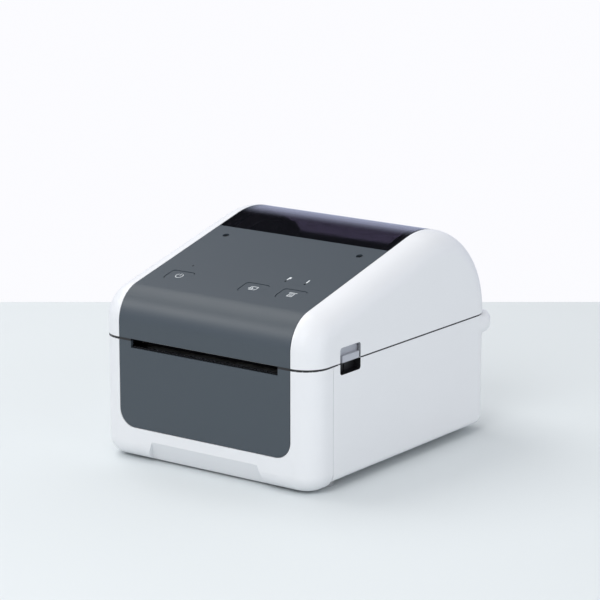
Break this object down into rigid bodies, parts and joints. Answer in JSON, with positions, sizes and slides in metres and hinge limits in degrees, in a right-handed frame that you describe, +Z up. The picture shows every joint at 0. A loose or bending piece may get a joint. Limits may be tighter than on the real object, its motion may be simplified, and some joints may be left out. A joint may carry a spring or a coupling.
{
  "type": "thermal label printer",
  "caption": "Desktop thermal label printer: rounded white case, dark front and control panels, smoked window, hinged cover, side release levers, roll holders, platen drive and print head.",
  "frame": {"origin": "centre of the bounding box on the surface the feet stand on", "axes": "+Z up, -Y the front where the label comes out, +X to the right of someone facing the front"},
  "size_m": [0.18, 0.224, 0.152],
  "materials": {
    "white_shell": "satin moulded",
    "slate_panel": "fine matt texture",
    "smoked_window": "smoked clear gloss",
    "lever_grey": "satin moulded",
    "black_plastic": "moulded black",
    "guide_grey": "satin moulded",
    "gear_white": "acetal",
    "platen_rubber": "ground rubber",
    "foot_rubber": "soft rubber",
    "steel": "plain steel",
    "motor_case": "zinc plated can",
    "pinion_brass": "hobbed brass",
    "heatsink": "milled",
    "head_ceramic": "glazed ceramic",
    "board_green": "solder mask",
    "light_clear": "clear light pipe"
  },
  "bodies": {
    "base": {"lower_case": "white_shell", "front_bezel": "white_shell", "front_panel": "slate_panel", "tear_bar": "steel", "feet": "foot_rubber", "case_screws": "steel", "hinge_pins": "steel", "finger_well_left": "black_plastic", "finger_well_right": "black_plastic", "side_plate_left": "black_plastic", "side_plate_right": "black_plastic", "latch_pins": "steel", "media_trough": "black_plastic", "media_deck": "black_plastic", "rack_tray": "black_plastic", "platen_bush_left": "gear_white", "platen_bush_right": "gear_white", "idler_post": "steel", "drive_motor": "motor_case", "main_board": "board_green", "usb_socket": "steel", "power_inlet": "black_plastic"},
    "platen": {"platen_shaft": "steel", "platen_sleeve": "platen_rubber", "platen_gear": "gear_white"},
    "idler": {"idler_gear": "gear_white"},
    "motor_rotor": {"motor_pinion": "pinion_brass", "motor_shaft": "steel"},
    "left_roll_holder": {"holder_left": "black_plastic"},
    "right_roll_holder": {"holder_right": "black_plastic"},
    "roll_pinion": {"holder_pinion": "gear_white"},
    "left_label_guide": {"guide_left": "guide_grey"},
    "right_label_guide": {"guide_right": "guide_grey"},
    "guide_wheel": {"guide_dial": "guide_grey"},
    "mark_sensor": {"sensor_carriage": "black_plastic"},
    "cover": {"cover_shell": "white_shell", "cover_rim": "black_plastic", "control_panel": "slate_panel", "window": "smoked_window", "cover_liner": "black_plastic", "head_carrier": "black_plastic", "hinge_arm_left": "black_plastic", "hinge_arm_right": "black_plastic", "panel_screws": "steel", "light_pipes": "light_clear", "switch_board": "board_green", "latch_spring": "steel", "head_spring_left": "steel", "head_spring_right": "steel"},
    "head": {"print_head": "head_ceramic", "head_heatsink": "heatsink", "head_bracket": "black_plastic"},
    "latch": {"latch_shaft": "steel", "latch_hook_left": "black_plastic", "latch_hook_right": "black_plastic", "release_lever_left": "lever_grey", "release_lever_right": "lever_grey"},
    "power_key": {"power_button": "slate_panel"},
    "feed_key": {"feed_button": "slate_panel"},
    "print_key": {"print_button": "slate_panel"}
  },
  "joints": [
    {"name": "cover_hinge", "type": "hinge", "parent": "base", "child": "cover", "pos_m": [0, 0.1073, 0.0795], "axis": [-1, 0, 0], "range_deg": [0, 90]},
    {"name": "latch_release", "type": "hinge", "parent": "cover", "child": "latch", "pos_m": [0, -0.0755, 0.0895], "axis": [1, 0, 0], "range_deg": [0, 10], "stiffness_Nm_per_rad": 0.4, "springref_deg": -5.73},
    {"name": "head_float", "type": "slide", "parent": "cover", "child": "head", "axis": [0, 0, 1], "range_m": [0, 0.0015], "stiffness_N_per_m": 2000, "springref_m": -0.003, "deforming": ["head_spring_left", "head_spring_right"]},
    {"name": "platen_spin", "type": "hinge", "parent": "base", "child": "platen", "pos_m": [0, -0.093, 0.074], "axis": [1, 0, 0], "continuous": true},
    {"name": "idler_spin", "type": "hinge", "parent": "base", "child": "idler", "pos_m": [0, -0.07923, 0.05434], "axis": [1, 0, 0], "continuous": true},
    {"name": "motor_spin", "type": "hinge", "parent": "base", "child": "motor_rotor", "pos_m": [0, -0.05893, 0.04487], "axis": [1, 0, 0], "continuous": true},
    {"name": "left_holder_slide", "type": "slide", "parent": "base", "child": "left_roll_holder", "axis": [1, 0, 0], "range_m": [0, 0.049]},
    {"name": "right_holder_slide", "type": "slide", "parent": "base", "child": "right_roll_holder", "axis": [1, 0, 0], "range_m": [-0.049, 0]},
    {"name": "roll_pinion_turn", "type": "hinge", "parent": "base", "child": "roll_pinion", "pos_m": [0, 0.0366, 0.0185], "axis": [0, 0, 1], "range_deg": [0, 352]},
    {"name": "left_guide_slide", "type": "slide", "parent": "base", "child": "left_label_guide", "axis": [1, 0, 0], "range_m": [0, 0.049]},
    {"name": "right_guide_slide", "type": "slide", "parent": "base", "child": "right_label_guide", "axis": [1, 0, 0], "range_m": [-0.049, 0]},
    {"name": "guide_wheel_turn", "type": "hinge", "parent": "base", "child": "guide_wheel", "pos_m": [0, -0.04449, 0.0707], "axis": [0, 0, 1], "range_deg": [0, 440]},
    {"name": "mark_sensor_slide", "type": "slide", "parent": "base", "child": "mark_sensor", "axis": [1, 0, 0], "range_m": [-0.045, 0.045]},
    {"name": "power_press", "type": "slide", "parent": "cover", "child": "power_key", "axis": [0, 0.2538, -0.9673], "range_m": [0, 0.0006], "stiffness_N_per_m": 800, "springref_m": -0.0006},
    {"name": "feed_press", "type": "slide", "parent": "cover", "child": "feed_key", "axis": [0, 0.2538, -0.9673], "range_m": [0, 0.0006], "stiffness_N_per_m": 800, "springref_m": -0.0006},
    {"name": "print_press", "type": "slide", "parent": "cover", "child": "print_key", "axis": [0, 0.2538, -0.9673], "range_m": [0, 0.0006], "stiffness_N_per_m": 800, "springref_m": -0.0006}
  ],
  "couplings": [
    {"joint": "idler_spin", "follows": "platen_spin", "ratio": -0.5},
    {"joint": "motor_spin", "follows": "platen_spin", "ratio": 1.25},
    {"joint": "right_holder_slide", "follows": "left_holder_slide", "ratio": -1},
    {"joint": "roll_pinion_turn", "follows": "left_holder_slide", "rad_per_m": 125},
    {"joint": "right_guide_slide", "follows": "left_guide_slide", "ratio": -1},
    {"joint": "guide_wheel_turn", "follows": "left_guide_slide", "rad_per_m": 156.25}
  ]
}
